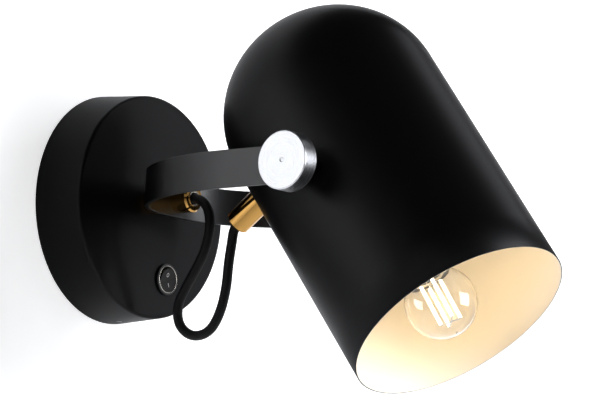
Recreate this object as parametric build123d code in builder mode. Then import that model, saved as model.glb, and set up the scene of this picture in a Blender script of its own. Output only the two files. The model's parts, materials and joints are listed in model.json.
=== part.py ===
"""Bedside wall reading lamp: round canopy with rocker switch, bent-bar yoke and tilting shade.

Frame: origin on the wall at the centre of the canopy's back, +X right, +Y into the wall, +Z up.
The lamp reaches out along -Y. All sizes are in millimetres.
"""
import math
import os

from build123d import *

os.makedirs("parts", exist_ok=True)

# canopy, the drawn steel cup on the wall
canopy_dia = 160.0
canopy_draft = 2.4
canopy_depth = 37.5
canopy_wall = 1.2
canopy_edge_radius = 2.0

# strap screwed to the wall, with a tab at each end that holds the canopy
strap_width = 20.0
strap_thickness = 2.0
strap_tab_height = 17.0
strap_bend_radius = 3.0
strap_canopy_gap = 0.4
strap_corner = 4.0
wall_slot_spacing = 100.0
wall_slot_width = 5.0
wall_slot_length = 14.0
side_screw_radius = 2.0
side_screw_length = 6.5
side_screw_height = 12.0
side_screw_hex = 2.0
side_screw_socket = 2.2
earth_screw_radius = 2.0
earth_screw_drop = 26.0
earth_head_radius = 3.8
earth_head_height = 2.4
earth_slot_width = 0.8
earth_slot_depth = 1.2

# terminal block on the strap
block_poles = 3
block_pitch = 9.0
block_margin = 1.5
block_depth = 17.0
block_height = 12.0
block_rise = 22.0
block_groove = 1.0
clamp_radius = 2.8
clamp_bore = 1.7
clamp_height = 5.0
clamp_screw_radius = 1.5
clamp_screw_spread = 9.0

# round rocker switch, set off the canopy's lowest point as the photograph shows it
switch_angle = 19.8
switch_edge_gap = 28.4
switch_radius = 9.8
switch_depth = 15.0
bezel_radius = 11.0
bezel_height = 2.2
bezel_edge = 0.7
rocker_radius = 8.3
rocker_gap = 0.8
rocker_axis_depth = 3.0
rocker_crown = 2.6
rocker_under = 2.0
rocker_throw = 9.0
rocker_pin_radius = 1.0
rocker_pin_reach = 9.5
rocker_well = 7.2
blade_width = 4.8
blade_thickness = 0.8
blade_length = 8.0
blade_spread = 11.0

# swivel, a hollow threaded tube through canopy and yoke, with a stop against twisting the wires
stem_rise = 4.0
stem_length = 20.0
stem_radius = 8.0
nipple_radius = 5.0
nipple_bore = 3.7
nipple_tail = 11.0
nipple_reach = 6.0
collar_radius = 8.7
collar_height = 4.5
collar_edge = 0.8
swivel_washer_radius = 8.3
swivel_washer_thickness = 0.8
stop_radius = 8.2
stop_thickness = 1.2
stop_tab_reach = 13.0
stop_tab_width = 4.0
stop_pin_radius = 1.5
stop_pin_place = 11.0
stop_pin_height = 3.0
spring_washer_thickness = 1.0
lock_nut_flats = 14.0
lock_nut_height = 3.5

# yoke, a flat bar bent to a deep U
bar_height = 25.0
bar_thickness = 3.0
bar_edge_radius = 0.5
yoke_bend_depth = 115.0
yoke_flat = 10.0
yoke_first_bend = 50.0
pivot_distance = 229.0

# cord grips, brass bodies with a clamping ring in the mouth
base_grip_radius = 9.6
base_grip_length = 13.7
shade_grip_radius = 8.8
shade_grip_length = 30.6
shade_grip_place = -53.5
grip_chamfer = 1.2
grip_ring_radius = 5.5
grip_ring_height = 3.0
grip_ring_proud = 0.5
grip_ring_lead = 0.7
grip_nut_height = 3.5
grip_nut_gap = 0.5
grip_shank_tail = 1.5
cord_diameter = 6.8
cord_room = 0.3

# shade, a spun cup with a slightly flattened dome
shade_radius = 75.0
shade_wall = 1.2
shade_mouth = 116.5
shade_straight_back = 62.5
dome_flattening = 4.0
shade_tilt = 53.5

# pivots, the same on both sides
stud_radius = 3.0
stud_tail = 2.0
knob_radius = 19.0
knob_thickness = 12.3
knob_edge = 0.7
knob_seat_gap = 0.2
knob_socket_depth = 8.0
knob_dimple_radius = 1.6
knob_dimple_depth = 0.5
bush_radius = 7.0
bush_length = 12.6
pivot_washer_radius = 9.0
pivot_washer_thickness = 0.8
inner_washer_radius = 6.0
inner_washer_thickness = 1.2
pivot_nut_flats = 10.0
pivot_nut_height = 5.0

# bridge between the pivots that carries the lampholder, a little off the shade's axis
holder_lean = 2.7
bridge_width = 18.0
bridge_thickness = 2.0
bridge_place = 13.0
bridge_bend_radius = 5.0
bridge_ear_tail = 9.0
bridge_ear_corner = 6.0

# lampholder for a 27 mm screw cap
holder_radius = 20.0
holder_base_radius = 15.0
holder_base_length = 20.0
holder_length = 59.0
holder_wall = 2.0
holder_floor = 5.0
holder_edge = 1.0
holder_rib_count = 20
holder_rib_radius = 0.9
holder_rib_length = 22.0
sleeve_radius = 14.4
sleeve_wall = 0.5
sleeve_length = 25.0
contact_radius = 5.0
contact_thickness = 1.4
contact_tongue_radius = 2.5
holder_nut_height = 3.0
holder_nipple_tail = 6.0
holder_nipple_reach = 6.0

# bulb: clear globe, screw cap, four straight filaments
globe_radius = 24.0
globe_rise = 27.0
glass_wall = 0.8
neck_radius = 12.4
neck_blend = 9.0
neck_sunk = 4.5
cap_radius = 13.1
cap_wall = 0.4
cap_length = 24.0
cap_shoulder = 3.5
cap_floor_radius = 9.5
cap_sunk = 2.45
tip_radius = 4.5
tip_height = 1.6
insulator_height = 1.2
filament_radius = 1.1
filament_length = 30.0
filament_circle = 7.0
filament_rise = 14.5
filament_count = 4
stem_flange = 1.5
stem_foot_radius = 6.0
stem_post_radius = 2.4
stem_post_rise = 9.5
wire_radius = 0.5

# clearances: threads and seats in one body, turning fits, and faces that only meet
fit = 0.05
running = 0.06
seat = 0.1

# both cords lie in the plane x = 0: distance out from the wall, and height, end to end
# the flex hangs between the cord grips, and the lead goes on inside the shade to the lampholder
cord_points = [
    (67.5, 4.0),
    (76.0, 4.0),
    (84.0, 0.5),
    (88.8, -8.0),
    (89.3, -19.5),
    (86.0, -33.0),
    (80.0, -43.5),
    (72.3, -54.8),
    (63.5, -69.0),
    (65.2, -83.7),
    (77.7, -92.4),
    (92.7, -89.8),
    (101.4, -77.3),
    (106.0, -60.0),
    (106.9, -42.5),
    (108.9, -29.5),
    (110.4, -17.2),
    (118.7, -11.1),
]
lead_points = [
    (140.9, 5.4),
    (174.1, 29.9),
    (215.5, 24.1),
    (237.9, -9.3),
]
arc_share = 0.45

# a right angle, in degrees
quarter_turn = 90.0

# places that follow from the sizes
canopy_radius = canopy_dia / 2
canopy_taper = canopy_draft / canopy_depth
canopy_inside = canopy_depth - canopy_wall
front_radius = canopy_radius - canopy_draft


def canopy_inner_radius(height):
    """Inner radius of the canopy's side wall, height out from the wall."""
    return canopy_radius - canopy_wall - canopy_taper * height


tab_corner_radius = canopy_inner_radius(strap_tab_height) - strap_canopy_gap
tab_outer = math.sqrt(tab_corner_radius**2 - (strap_width / 2) ** 2)
side_screw_top = canopy_radius - canopy_taper * side_screw_height - seat

yoke_back = canopy_depth + stem_length
yoke_inner = yoke_back + bar_thickness
arm_inner = shade_radius + fit + bush_length + fit + pivot_washer_thickness
yoke_half_width = arm_inner + bar_thickness
pivot = Vector(0, -pivot_distance, stem_rise)
knob_inner = yoke_half_width + knob_seat_gap

switch_turn = math.radians(switch_angle)
switch_reach = canopy_radius - switch_edge_gap
switch_centre = Vector(math.sin(switch_turn), 0, -math.cos(switch_turn)) * switch_reach
switch_across = Vector(math.cos(switch_turn), 0, math.sin(switch_turn))
switch_inward = Vector(-math.sin(switch_turn), 0, math.cos(switch_turn))
bezel_front = canopy_depth + bezel_height
well_radius = rocker_radius + rocker_gap
rocker_centre = switch_centre + Vector(0, rocker_axis_depth - bezel_front, 0)
throw = math.radians(rocker_throw)
rocker_way = switch_inward * math.cos(throw) + Vector(0, -1, 0) * math.sin(throw)
rocker_up = Vector(0, -1, 0) * math.cos(throw) - switch_inward * math.sin(throw)

tilt = math.radians(shade_tilt)
mouth_way = Vector(0, -math.cos(tilt), -math.sin(tilt))
grip_way = Vector(0, math.sin(tilt), -math.cos(tilt))
lamp_tilt = math.radians(shade_tilt + holder_lean)
lamp_way = Vector(0, -math.cos(lamp_tilt), -math.sin(lamp_tilt))
lamp_side = Vector(0, math.sin(lamp_tilt), -math.cos(lamp_tilt))
shade_inner = shade_radius - shade_wall
shade_dome = shade_radius - dome_flattening
shade_section = Plane(origin=pivot, x_dir=(1, 0, 0), z_dir=grip_way)
shade_axis = Axis(pivot, mouth_way)
lamp_section = Plane(origin=pivot, x_dir=(1, 0, 0), z_dir=lamp_side)
lamp_axis = Axis(pivot, lamp_way)
grip_foot = pivot + mouth_way * shade_grip_place + grip_way * shade_radius
ear_outer = math.sqrt(shade_inner**2 - (bridge_width / 2) ** 2) - fit
ear_inner = ear_outer - bridge_thickness
plate_top = bridge_place + bridge_thickness / 2
holder_top = plate_top + holder_length - fit
holder_joint = plate_top + holder_base_length
contact_floor = holder_joint + holder_floor
cap_top = holder_top - cap_sunk
globe_place = cap_top + globe_rise
filament_end = globe_place + filament_rise
stem_post_top = cap_top + stem_post_rise
cap_bottom = cap_top - cap_length
glass_bottom = cap_top - neck_sunk
tip_bottom = cap_bottom - insulator_height - tip_height
cord_bore = cord_diameter / 2 + cord_room


def wall_plane(height):
    """Plane parallel to the wall, height out from it, x to the right and y up."""
    return Plane.XZ.offset(height)


def switch_plane(height):
    """Plane parallel to the wall over the switch, y towards the canopy's middle."""
    origin = switch_centre + Vector(0, -height, 0)
    return Plane(origin=origin, x_dir=switch_across, z_dir=(0, -1, 0))


def lamp_plane(place):
    """Plane square to the bulb's axis, place along it from the pivots."""
    return Plane(origin=pivot + lamp_way * place, x_dir=(1, 0, 0), z_dir=lamp_way)


def grip_plane(height):
    """Plane square to the shade's cord grip, height out from the shade's skin."""
    return Plane(origin=grip_foot + grip_way * height, x_dir=(1, 0, 0), z_dir=grip_way)


def side_plane(side, reach):
    """Plane square to the pivots' axis, reach out from the middle on one side."""
    return Plane(origin=(side * reach, pivot.Y, pivot.Z), x_dir=(0, 1, 0), z_dir=(side, 0, 0))


def save(item, name):
    """Label a finished piece and write its STEP file."""
    item.part.label = name
    export_step(item.part, f"parts/{name}.step")


# canopy: a tapered cup, open to the wall, with holes for swivel, switch and side screws
with BuildPart() as canopy_shell:
    with BuildSketch(Plane.XY):
        with BuildLine():
            Polyline(
                (canopy_radius, 0),
                (front_radius, -canopy_depth),
                (0, -canopy_depth),
                (0, -canopy_inside),
                (canopy_inner_radius(canopy_inside), -canopy_inside),
                (canopy_inner_radius(0), 0),
                close=True,
            )
        make_face()
        fillet(vertices().sort_by_distance((front_radius, -canopy_depth))[0], canopy_edge_radius)
        inner_corner = (canopy_inner_radius(canopy_inside), -canopy_inside)
        fillet(vertices().sort_by_distance(inner_corner)[0], canopy_edge_radius - canopy_wall)
    revolve(axis=Axis.Y)
    with BuildSketch(wall_plane(canopy_depth)):
        with Locations((0, stem_rise)):
            Circle(nipple_radius + running)
        with Locations((switch_centre.X, switch_centre.Z)):
            Circle(switch_radius + fit)
    extrude(amount=-2 * canopy_wall, mode=Mode.SUBTRACT)
    with BuildSketch(Plane.XY):
        with Locations((0, -side_screw_height)):
            Circle(side_screw_radius + seat)
    extrude(amount=canopy_dia, both=True, mode=Mode.SUBTRACT)
save(canopy_shell, "canopy_shell")

# strap: folded bar with two slots for wall screws and a tapped hole in each tab
with BuildPart() as wall_strap:
    with BuildSketch(Plane.YZ):
        with BuildLine():
            FilletPolyline(
                (-strap_tab_height, strap_thickness / 2 - tab_outer),
                (-strap_thickness / 2, strap_thickness / 2 - tab_outer),
                (-strap_thickness / 2, tab_outer - strap_thickness / 2),
                (-strap_tab_height, tab_outer - strap_thickness / 2),
                radius=strap_bend_radius,
            )
        trace(line_width=strap_thickness)
    extrude(amount=strap_width / 2, both=True)
    fillet(edges().filter_by(Axis.Z).group_by(Axis.Y)[0], strap_corner)
    with BuildSketch(wall_plane(0)):
        with GridLocations(0, wall_slot_spacing, 1, 2):
            SlotOverall(wall_slot_length, wall_slot_width, rotation=90)
        with Locations((0, -earth_screw_drop)):
            Circle(earth_screw_radius + fit)
    extrude(amount=strap_thickness, mode=Mode.SUBTRACT)
    with BuildSketch(Plane.XY):
        with Locations((0, -side_screw_height)):
            Circle(side_screw_radius + fit)
    extrude(amount=canopy_dia, both=True, mode=Mode.SUBTRACT)
save(wall_strap, "wall_strap")

# socket screws in the tabs, wound out into the canopy's side holes
with BuildPart() as side_screws:
    for side in (1, -1):
        with BuildSketch(Plane.XY.offset(side * side_screw_top)):
            with Locations((0, -side_screw_height)):
                Circle(side_screw_radius)
        extrude(amount=-side * side_screw_length)
        with BuildSketch(Plane.XY.offset(side * side_screw_top)):
            with Locations((0, -side_screw_height)):
                RegularPolygon(side_screw_hex / 2, 6, major_radius=False)
        extrude(amount=-side * side_screw_socket, mode=Mode.SUBTRACT)
save(side_screws, "side_screws")

# earth screw on the strap, slotted pan head
with BuildPart() as earth_screw:
    with BuildSketch(wall_plane(0)):
        with Locations((0, -earth_screw_drop)):
            Circle(earth_screw_radius)
    extrude(amount=strap_thickness + fit)
    with BuildSketch(wall_plane(strap_thickness + fit)):
        with Locations((0, -earth_screw_drop)):
            Circle(earth_head_radius)
    extrude(amount=earth_head_height)
    fillet(edges().group_by(Axis.Y)[0], earth_slot_width)
    with BuildSketch(wall_plane(strap_thickness + fit + earth_head_height)):
        with Locations((0, -earth_screw_drop)):
            Rectangle(2 * earth_head_radius, earth_slot_width)
    extrude(amount=-earth_slot_depth, mode=Mode.SUBTRACT)
save(earth_screw, "earth_screw")

# terminal block: moulded body, one clamp a pole, two screws a clamp
block_base = strap_thickness + fit
block_width = block_poles * block_pitch + 2 * block_margin
with BuildPart() as terminal_block:
    with BuildSketch(wall_plane(block_base)):
        with Locations((0, block_rise)):
            RectangleRounded(block_width, block_depth, block_margin)
    extrude(amount=block_height)
    chamfer(faces().sort_by(Axis.Y)[0].edges(), block_groove / 2)
    with BuildSketch(wall_plane(block_base + block_height)):
        with Locations((0, block_rise)):
            with GridLocations(block_pitch, 0, block_poles - 1, 1):
                Rectangle(block_groove, block_depth)
    extrude(amount=-block_height / 2, mode=Mode.SUBTRACT)
    with BuildSketch(Plane.XY.offset(block_rise)):
        with Locations((0, -block_base - clamp_height)):
            with GridLocations(block_pitch, 0, block_poles, 1):
                Circle(clamp_radius + fit)
    extrude(amount=block_depth, both=True, mode=Mode.SUBTRACT)
    with BuildSketch(wall_plane(block_base + block_height)):
        with Locations((0, block_rise)):
            with GridLocations(block_pitch, clamp_screw_spread, block_poles, 2):
                Circle(clamp_screw_radius + seat)
    extrude(amount=clamp_height - block_height, mode=Mode.SUBTRACT)
save(terminal_block, "terminal_block")

clamp_length = block_depth - 2 * block_margin
with BuildPart() as terminal_clamps:
    with BuildSketch(Plane.XY.offset(block_rise)):
        with Locations((0, -block_base - clamp_height)):
            with GridLocations(block_pitch, 0, block_poles, 1):
                Circle(clamp_radius)
                Circle(clamp_bore, mode=Mode.SUBTRACT)
    extrude(amount=clamp_length / 2, both=True)
    with BuildSketch(wall_plane(block_base + clamp_height)):
        with Locations((0, block_rise)):
            with GridLocations(block_pitch, clamp_screw_spread, block_poles, 2):
                Circle(clamp_screw_radius + fit)
    extrude(amount=block_height, mode=Mode.SUBTRACT)
save(terminal_clamps, "terminal_clamps")

clamp_screw_foot = block_base + clamp_height + clamp_bore / 2
clamp_screw_length = block_height - clamp_height - clamp_bore / 2 - block_margin
with BuildPart() as terminal_screws:
    with BuildSketch(wall_plane(clamp_screw_foot)):
        with Locations((0, block_rise)):
            with GridLocations(block_pitch, clamp_screw_spread, block_poles, 2):
                Circle(clamp_screw_radius)
    extrude(amount=clamp_screw_length)
    with BuildSketch(wall_plane(clamp_screw_foot + clamp_screw_length)):
        with Locations((0, block_rise)):
            with GridLocations(block_pitch, clamp_screw_spread, block_poles, 2):
                Rectangle(2 * clamp_screw_radius, earth_slot_width / 2)
    extrude(amount=-earth_slot_width, mode=Mode.SUBTRACT)
save(terminal_screws, "terminal_screws")

# switch: bezel and body in one moulding, with a well for the rocker
with BuildPart() as switch_body:
    with BuildSketch(switch_plane(bezel_front)):
        Circle(bezel_radius)
    extrude(amount=-bezel_height)
    fillet(edges().group_by(Axis.Y)[0], bezel_edge)
    with BuildSketch(switch_plane(canopy_depth)):
        Circle(switch_radius)
    extrude(amount=-switch_depth)
    with BuildSketch(switch_plane(bezel_front)):
        Circle(well_radius)
    extrude(amount=-rocker_well, mode=Mode.SUBTRACT)
    with BuildSketch(Plane(origin=rocker_centre, x_dir=(0, 1, 0), z_dir=switch_across)):
        Circle(rocker_pin_radius + running)
    extrude(amount=rocker_pin_reach + seat, both=True, mode=Mode.SUBTRACT)
save(switch_body, "switch_body")

with BuildPart() as switch_blades:
    with BuildSketch(switch_plane(canopy_depth - switch_depth)):
        with GridLocations(0, blade_spread, 1, 2):
            Rectangle(blade_width, blade_thickness)
    extrude(amount=-blade_length)
    chamfer(edges().filter_by(Axis(rocker_centre, switch_across)).group_by(Axis.Y)[-1], blade_thickness / 3)
save(switch_blades, "switch_blades")

# rocker: two flats that meet in a shallow valley, on a pair of trunnions
rocker_end_rise = rocker_crown + 2 * rocker_radius * math.tan(throw)
with BuildPart() as switch_rocker:
    with BuildSketch(Plane(origin=rocker_centre, x_dir=rocker_way, z_dir=switch_across)):
        with BuildLine():
            Polyline(
                (-2 * rocker_radius, -rocker_under),
                (2 * rocker_radius, -rocker_under),
                (2 * rocker_radius, rocker_end_rise),
                (0, rocker_crown),
                (-2 * rocker_radius, rocker_end_rise),
                close=True,
            )
        make_face()
    extrude(amount=rocker_radius, both=True)
    with BuildSketch(Plane(origin=rocker_centre, x_dir=switch_across, z_dir=rocker_up)):
        Circle(rocker_radius)
    extrude(amount=2 * rocker_radius, both=True, mode=Mode.INTERSECT)
    with BuildSketch(Plane(origin=rocker_centre, x_dir=(0, 1, 0), z_dir=switch_across)):
        Circle(rocker_pin_radius)
    extrude(amount=rocker_pin_reach, both=True)
save(switch_rocker, "switch_rocker")

# swivel: fibre washer on the canopy, brass collar, stem tube, hollow nipple and its nut
with BuildPart() as swivel_washer:
    with BuildSketch(wall_plane(canopy_depth)):
        with Locations((0, stem_rise)):
            Circle(swivel_washer_radius)
            Circle(nipple_radius + running, mode=Mode.SUBTRACT)
    extrude(amount=swivel_washer_thickness)
save(swivel_washer, "swivel_washer")

collar_base = canopy_depth + swivel_washer_thickness
with BuildPart() as swivel_collar:
    with BuildSketch(wall_plane(collar_base)):
        with Locations((0, stem_rise)):
            Circle(collar_radius)
    extrude(amount=collar_height)
    chamfer(edges().group_by(Axis.Y)[0], collar_edge)
    with BuildSketch(wall_plane(collar_base)):
        with Locations((0, stem_rise)):
            Circle(nipple_radius + fit)
    extrude(amount=collar_height, mode=Mode.SUBTRACT)
save(swivel_collar, "swivel_collar")

with BuildPart() as stem_tube:
    with BuildSketch(wall_plane(collar_base + collar_height)):
        with Locations((0, stem_rise)):
            Circle(stem_radius)
            Circle(nipple_radius + fit, mode=Mode.SUBTRACT)
    extrude(amount=stem_length - swivel_washer_thickness - collar_height)
save(stem_tube, "stem_tube")

nipple_start = canopy_inside - nipple_tail
with BuildPart() as swivel_nipple:
    with BuildSketch(wall_plane(nipple_start)):
        with Locations((0, stem_rise)):
            Circle(nipple_radius)
            Circle(nipple_bore, mode=Mode.SUBTRACT)
    extrude(amount=yoke_inner + nipple_reach - nipple_start)
save(swivel_nipple, "swivel_nipple")

stop_top = canopy_inside - seat
with BuildPart() as stop_washer:
    with BuildSketch(wall_plane(stop_top)):
        with Locations((0, stem_rise)):
            Circle(stop_radius)
        with Locations((0, stem_rise + stop_tab_reach / 2)):
            Rectangle(stop_tab_width, stop_tab_reach)
        with Locations((0, stem_rise)):
            Circle(nipple_radius + fit, mode=Mode.SUBTRACT)
    extrude(amount=-stop_thickness)
save(stop_washer, "stop_washer")

with BuildPart() as stop_pin:
    with BuildSketch(wall_plane(canopy_inside)):
        with Locations((0, stem_rise - stop_pin_place)):
            Circle(stop_pin_radius)
    extrude(amount=-stop_pin_height)
save(stop_pin, "stop_pin")

spring_top = stop_top - stop_thickness
with BuildPart() as spring_washer:
    with BuildSketch(wall_plane(spring_top)):
        with Locations((0, stem_rise)):
            Circle(stop_radius)
            Circle(nipple_radius + fit, mode=Mode.SUBTRACT)
    extrude(amount=-spring_washer_thickness)
save(spring_washer, "spring_washer")

with BuildPart() as lock_nut:
    with BuildSketch(wall_plane(spring_top - spring_washer_thickness)):
        with Locations((0, stem_rise)):
            RegularPolygon(lock_nut_flats / 2, 6, major_radius=False)
            Circle(nipple_radius + fit, mode=Mode.SUBTRACT)
    extrude(amount=-lock_nut_height)
save(lock_nut, "lock_nut")

# yoke: two tangent arcs a side carry the bar from the flat at the back to the straight arms
bar_half_width = yoke_half_width - bar_thickness / 2
bar_depth = yoke_bend_depth - bar_thickness / 2
bend = math.radians(yoke_first_bend)
bend_span = bar_half_width - yoke_flat
bend_mix = math.sin(bend) * math.cos(bend) - (1 - math.sin(bend)) * (1 - math.cos(bend))
first_radius = (bend_span * math.cos(bend) - (1 - math.sin(bend)) * bar_depth) / bend_mix
second_radius = (math.sin(bend) * bar_depth - (1 - math.cos(bend)) * bend_span) / bend_mix
arm_length = pivot_distance + bar_height / 2 - yoke_back - yoke_bend_depth
with BuildPart() as yoke_bar:
    with BuildSketch(Plane.XY.offset(stem_rise)):
        with BuildLine():
            back = Line((0, -yoke_back - bar_thickness / 2), (yoke_flat, -yoke_back - bar_thickness / 2))
            first = JernArc(back @ 1, back % 1, first_radius, -yoke_first_bend)
            second = JernArc(first @ 1, first % 1, second_radius, yoke_first_bend - quarter_turn)
            Line(second @ 1, second @ 1 + Vector(0, -arm_length, 0))
            mirror(about=Plane.YZ)
        trace(line_width=bar_thickness)
    extrude(amount=bar_height / 2, both=True)
    with BuildSketch(Plane.YZ):
        with Locations((-pivot_distance / 2, stem_rise)):
            Rectangle(pivot_distance, bar_height)
        with Locations((-pivot_distance, stem_rise)):
            Circle(bar_height / 2)
    extrude(amount=canopy_dia, both=True, mode=Mode.INTERSECT)
    with BuildSketch(Plane.YZ):
        with Locations((-pivot_distance, stem_rise)):
            Circle(stud_radius + running)
    extrude(amount=canopy_dia, both=True, mode=Mode.SUBTRACT)
    with BuildSketch(wall_plane(yoke_back)):
        with Locations((0, stem_rise)):
            Circle(nipple_radius + fit)
    extrude(amount=bar_thickness, mode=Mode.SUBTRACT)
    top_edges = faces().filter_by(Plane.XY).edges()
    fillet(top_edges.filter_by(lambda edge: edge.length > bar_thickness + fit), bar_edge_radius)
save(yoke_bar, "yoke_bar")

# cord grip at the back of the yoke, screwed on the nipple
with BuildPart() as base_grip:
    with BuildSketch(wall_plane(yoke_inner)):
        with Locations((0, stem_rise)):
            Circle(base_grip_radius)
    extrude(amount=base_grip_length)
    chamfer(edges().group_by(Axis.Y)[0], grip_chamfer)
    with BuildSketch(wall_plane(yoke_inner)):
        with Locations((0, stem_rise)):
            Circle(nipple_radius + fit)
    extrude(amount=nipple_reach + seat, mode=Mode.SUBTRACT)
    with BuildSketch(wall_plane(yoke_inner)):
        with Locations((0, stem_rise)):
            Circle(cord_bore)
    extrude(amount=base_grip_length, mode=Mode.SUBTRACT)
    with BuildSketch(wall_plane(yoke_inner + base_grip_length)):
        with Locations((0, stem_rise)):
            Circle(grip_ring_radius + fit)
    extrude(amount=grip_ring_proud - grip_ring_height, mode=Mode.SUBTRACT)
save(base_grip, "base_grip")

with BuildPart() as base_grip_ring:
    with BuildSketch(wall_plane(yoke_inner + base_grip_length + grip_ring_proud)):
        with Locations((0, stem_rise)):
            Circle(grip_ring_radius)
            Circle(cord_bore, mode=Mode.SUBTRACT)
    extrude(amount=-grip_ring_height)
    mouth_rims = edges().filter_by(GeomType.CIRCLE).group_by(Axis.Y)[0]
    chamfer(mouth_rims.sort_by(SortBy.RADIUS)[0], grip_ring_lead)
save(base_grip_ring, "base_grip_ring")

# shade: spun cup, open at the mouth, with holes for the pivots and the cord grip
with BuildPart() as shade_shell:
    with BuildSketch(shade_section):
        with BuildLine():
            Line((shade_inner, shade_mouth), (shade_radius, shade_mouth))
            Line((shade_radius, shade_mouth), (shade_radius, -shade_straight_back))
            EllipticalCenterArc(
                (0, -shade_straight_back),
                shade_radius,
                shade_dome,
                start_angle=-quarter_turn,
                arc_size=quarter_turn,
            )
            Line((0, -shade_straight_back - shade_dome), (0, shade_wall - shade_straight_back - shade_dome))
            EllipticalCenterArc(
                (0, -shade_straight_back),
                shade_inner,
                shade_dome - shade_wall,
                start_angle=-quarter_turn,
                arc_size=quarter_turn,
            )
            Line((shade_inner, -shade_straight_back), (shade_inner, shade_mouth))
        make_face()
    revolve(axis=shade_axis)
    with BuildSketch(side_plane(1, 0)):
        Circle(stud_radius + seat)
    extrude(amount=2 * shade_radius, both=True, mode=Mode.SUBTRACT)
    with BuildSketch(grip_plane(0)):
        Circle(nipple_radius + seat)
    extrude(amount=-2 * shade_wall, mode=Mode.SUBTRACT)
save(shade_shell, "shade_shell")

# pivots: bush, washers, stud and nut a side
with BuildPart() as pivot_washers:
    for side in (1, -1):
        with BuildSketch(side_plane(side, arm_inner)):
            Circle(pivot_washer_radius)
            Circle(stud_radius + running, mode=Mode.SUBTRACT)
        extrude(amount=-pivot_washer_thickness)
save(pivot_washers, "pivot_washers")

with BuildPart() as pivot_bushes:
    for side in (1, -1):
        with BuildSketch(side_plane(side, shade_radius + fit)):
            Circle(bush_radius)
            Circle(stud_radius + fit, mode=Mode.SUBTRACT)
        extrude(amount=bush_length)
save(pivot_bushes, "pivot_bushes")

nut_start = ear_inner - inner_washer_thickness
stud_start = nut_start - pivot_nut_height - stud_tail
with BuildPart() as pivot_studs:
    for side in (1, -1):
        with BuildSketch(side_plane(side, stud_start)):
            Circle(stud_radius)
        extrude(amount=knob_inner + knob_socket_depth - stud_start)
        ends = edges().filter_by(GeomType.CIRCLE)
    chamfer(ends.group_by(Axis.X)[0] + ends.group_by(Axis.X)[-1], stud_radius / 6)
save(pivot_studs, "pivot_studs")

with BuildPart() as inner_washers:
    for side in (1, -1):
        with BuildSketch(side_plane(side, ear_inner)):
            Circle(inner_washer_radius)
            Circle(stud_radius + fit, mode=Mode.SUBTRACT)
        extrude(amount=-inner_washer_thickness)
save(inner_washers, "inner_washers")

with BuildPart() as pivot_nuts:
    for side in (1, -1):
        with BuildSketch(side_plane(side, nut_start)):
            RegularPolygon(pivot_nut_flats / 2, 6, major_radius=False)
            Circle(stud_radius + fit, mode=Mode.SUBTRACT)
        extrude(amount=-pivot_nut_height)
save(pivot_nuts, "pivot_nuts")

# knobs: turned discs that clamp the arms, blind bore for the stud
for side, name in ((-1, "knob_left"), (1, "knob_right")):
    with BuildPart() as knob:
        with BuildSketch(side_plane(side, knob_inner)):
            Circle(knob_radius)
        extrude(amount=knob_thickness)
        fillet(edges(), knob_edge)
        with BuildSketch(side_plane(side, knob_inner)):
            Circle(stud_radius + running)
        extrude(amount=knob_socket_depth + seat, mode=Mode.SUBTRACT)
        with BuildSketch(side_plane(side, knob_inner + knob_thickness)):
            Circle(knob_dimple_radius)
        extrude(amount=-knob_dimple_depth, taper=45, mode=Mode.SUBTRACT)
    save(knob, name)

# cord grip on the shade: long body outside, shank through the skin, nut inside
with BuildPart() as shade_grip:
    with BuildSketch(grip_plane(fit)):
        Circle(shade_grip_radius)
    extrude(amount=shade_grip_length - fit)
    outer_rim = edges().filter_by(GeomType.CIRCLE).sort_by(Axis(grip_foot, grip_way))[-1]
    chamfer(outer_rim, grip_chamfer)
    with BuildSketch(grip_plane(fit)):
        Circle(nipple_radius)
    extrude(amount=-(shade_wall + grip_nut_gap + grip_nut_height + grip_shank_tail))
    with BuildSketch(grip_plane(shade_grip_length)):
        Circle(cord_bore)
    extrude(amount=-2 * shade_grip_length, mode=Mode.SUBTRACT)
    with BuildSketch(grip_plane(shade_grip_length)):
        Circle(grip_ring_radius + fit)
    extrude(amount=grip_ring_proud - grip_ring_height, mode=Mode.SUBTRACT)
save(shade_grip, "shade_grip")

with BuildPart() as shade_grip_ring:
    with BuildSketch(grip_plane(shade_grip_length + grip_ring_proud)):
        Circle(grip_ring_radius)
        Circle(cord_bore, mode=Mode.SUBTRACT)
    extrude(amount=-grip_ring_height)
    mouth_rims = edges().filter_by(GeomType.CIRCLE).group_by(Axis(grip_foot, grip_way))[-1]
    chamfer(mouth_rims.sort_by(SortBy.RADIUS)[0], grip_ring_lead)
save(shade_grip_ring, "shade_grip_ring")

with BuildPart() as shade_grip_nut:
    with BuildSketch(grip_plane(-shade_wall - grip_nut_gap)):
        RegularPolygon(lock_nut_flats / 2, 6, major_radius=False)
        Circle(nipple_radius + fit, mode=Mode.SUBTRACT)
    extrude(amount=-grip_nut_height)
save(shade_grip_nut, "shade_grip_nut")

# bridge: folded strip whose ears share the pivot studs
with BuildPart() as lamp_bridge:
    ear_middle = ear_outer - bridge_thickness / 2
    with BuildSketch(lamp_section):
        with BuildLine():
            FilletPolyline(
                (ear_middle, -bridge_ear_tail),
                (ear_middle, bridge_place),
                (-ear_middle, bridge_place),
                (-ear_middle, -bridge_ear_tail),
                radius=bridge_bend_radius,
            )
        trace(line_width=bridge_thickness)
    extrude(amount=bridge_width / 2, both=True)
    ear_ends = edges().filter_by(Axis.X).group_by(lamp_axis)[0]
    fillet(ear_ends, bridge_ear_corner)
    with BuildSketch(side_plane(1, 0)):
        Circle(stud_radius + seat)
    extrude(amount=2 * shade_radius, both=True, mode=Mode.SUBTRACT)
    with BuildSketch(lamp_plane(bridge_place)):
        Circle(nipple_radius + fit)
    extrude(amount=bridge_thickness, both=True, mode=Mode.SUBTRACT)
save(lamp_bridge, "lamp_bridge")

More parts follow.
